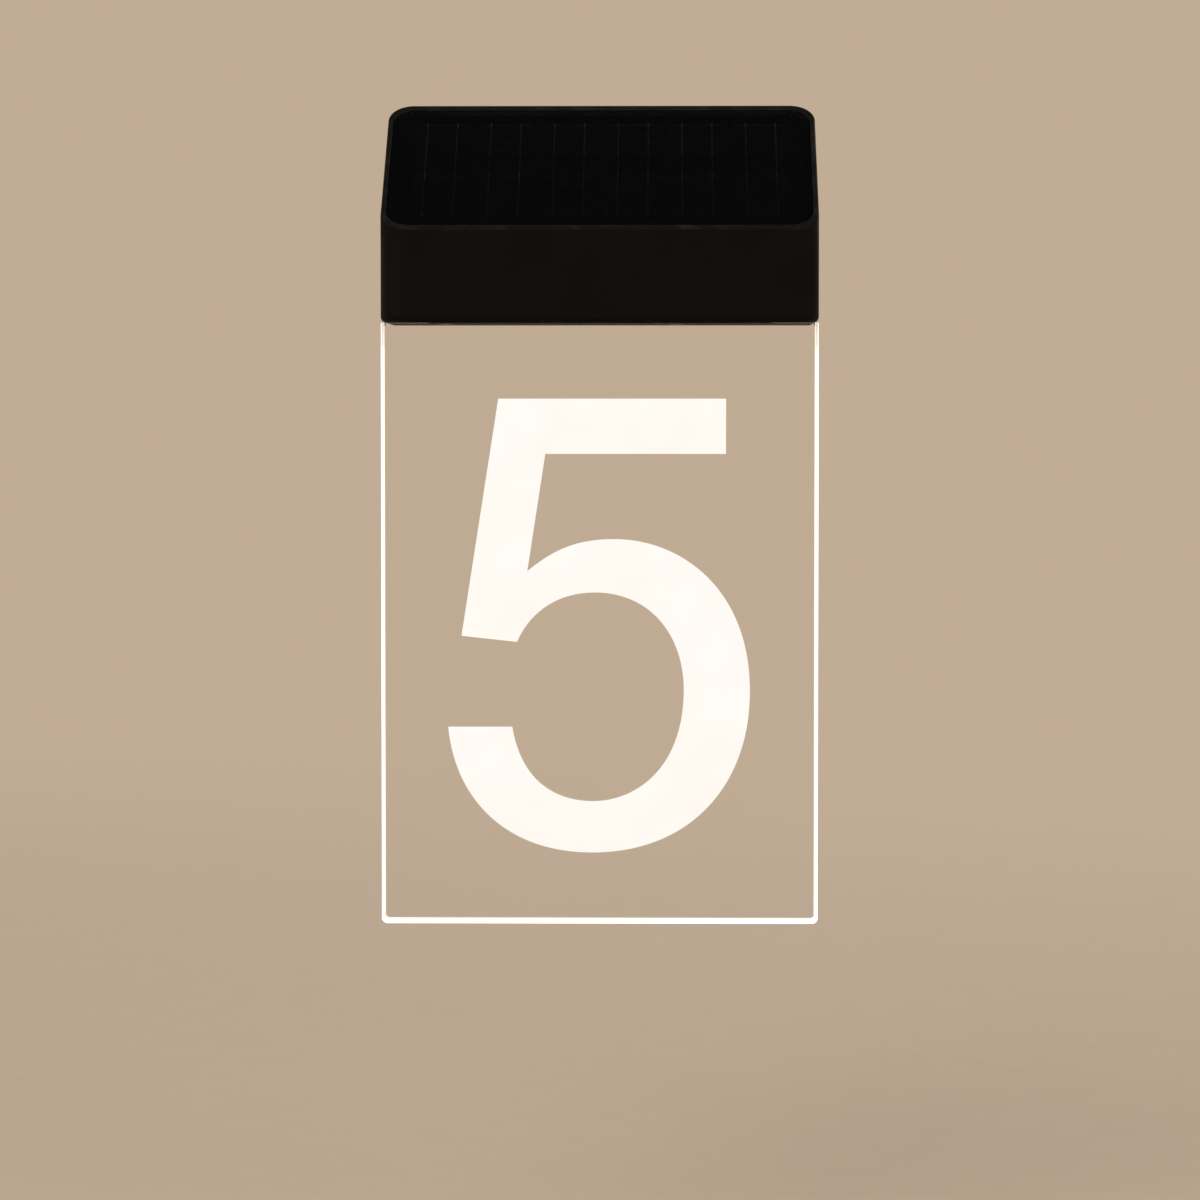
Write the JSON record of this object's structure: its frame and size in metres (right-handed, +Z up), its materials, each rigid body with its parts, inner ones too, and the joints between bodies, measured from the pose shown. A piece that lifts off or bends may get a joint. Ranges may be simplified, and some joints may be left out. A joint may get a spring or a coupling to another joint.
{
  "type": "illuminated house number sign",
  "caption": "Solar wall light: a black wedge-shaped head with a clear edge-lit plate below it that carries a glowing plain numeral.",
  "frame": {"origin": "middle of the wall bracket's two wall slots, on the wall plane", "axes": "+X to the right as seen from the front, +Y into the wall, +Z up; the front faces -Y"},
  "size_m": [0.15, 0.06, 0.2839],
  "materials": {
    "black_plastic": "fine moulded texture",
    "black_rubber": "matt",
    "dark_window": "gloss",
    "solar_cell": "gloss",
    "clear_acrylic": "polished and clear",
    "lit_numeral": "white film, lit",
    "white_plastic": "satin",
    "light_strip": "lit",
    "white_board": "satin",
    "green_board": "satin",
    "board_black": "satin",
    "cell_wrap": "shrink wrap",
    "steel": "zinc plated",
    "nickel": "bright",
    "aluminium": "extruded",
    "lead_red": "satin",
    "lead_black": "satin"
  },
  "bodies": {
    "bracket": {"wall_bracket": "steel"},
    "lamp": {"front_shell": "black_plastic", "rear_cover": "black_plastic", "cover_seal": "black_rubber", "cover_screws": "steel", "solar_window": "dark_window", "window_seal": "black_rubber", "solar_cells": "solar_cell", "solar_board": "white_board", "acrylic_plate": "clear_acrylic", "numeral": "lit_numeral", "slot_seal": "black_rubber", "light_channel": "white_plastic", "led_board": "white_board", "leds": "light_strip", "led_board_screws": "steel", "plate_clamp": "aluminium", "clamp_screws": "steel", "battery_holder": "board_black", "holder_screws": "steel", "battery_cell": "cell_wrap", "battery_contact": "nickel", "battery_spring": "steel", "control_board": "green_board", "board_parts": "board_black", "board_screws": "steel", "push_switch": "board_black", "switch_board": "green_board", "switch_board_screws": "steel", "solar_lead": "lead_red", "battery_lead": "lead_red", "led_lead": "lead_black", "switch_lead": "lead_black"},
    "battery_door": {"battery_door": "black_plastic", "door_seal": "black_rubber", "door_screws": "steel"},
    "power_button": {"button_cap": "black_rubber", "button_seal": "black_rubber", "switch_plunger": "board_black"}
  },
  "joints": [
    {"name": "lamp_lift", "type": "slide", "parent": "bracket", "child": "lamp", "axis": [0, 0, 1], "range_m": [0, 0.01]},
    {"name": "battery_door_slide", "type": "slide", "parent": "lamp", "child": "battery_door", "axis": [0, 0, -1], "range_m": [0, 0.012]},
    {"name": "power_button_press", "type": "slide", "parent": "lamp", "child": "power_button", "axis": [0, 0, 1], "range_m": [0, 0.0012], "stiffness_N_per_m": 600, "springref_m": -0.0005}
  ]
}
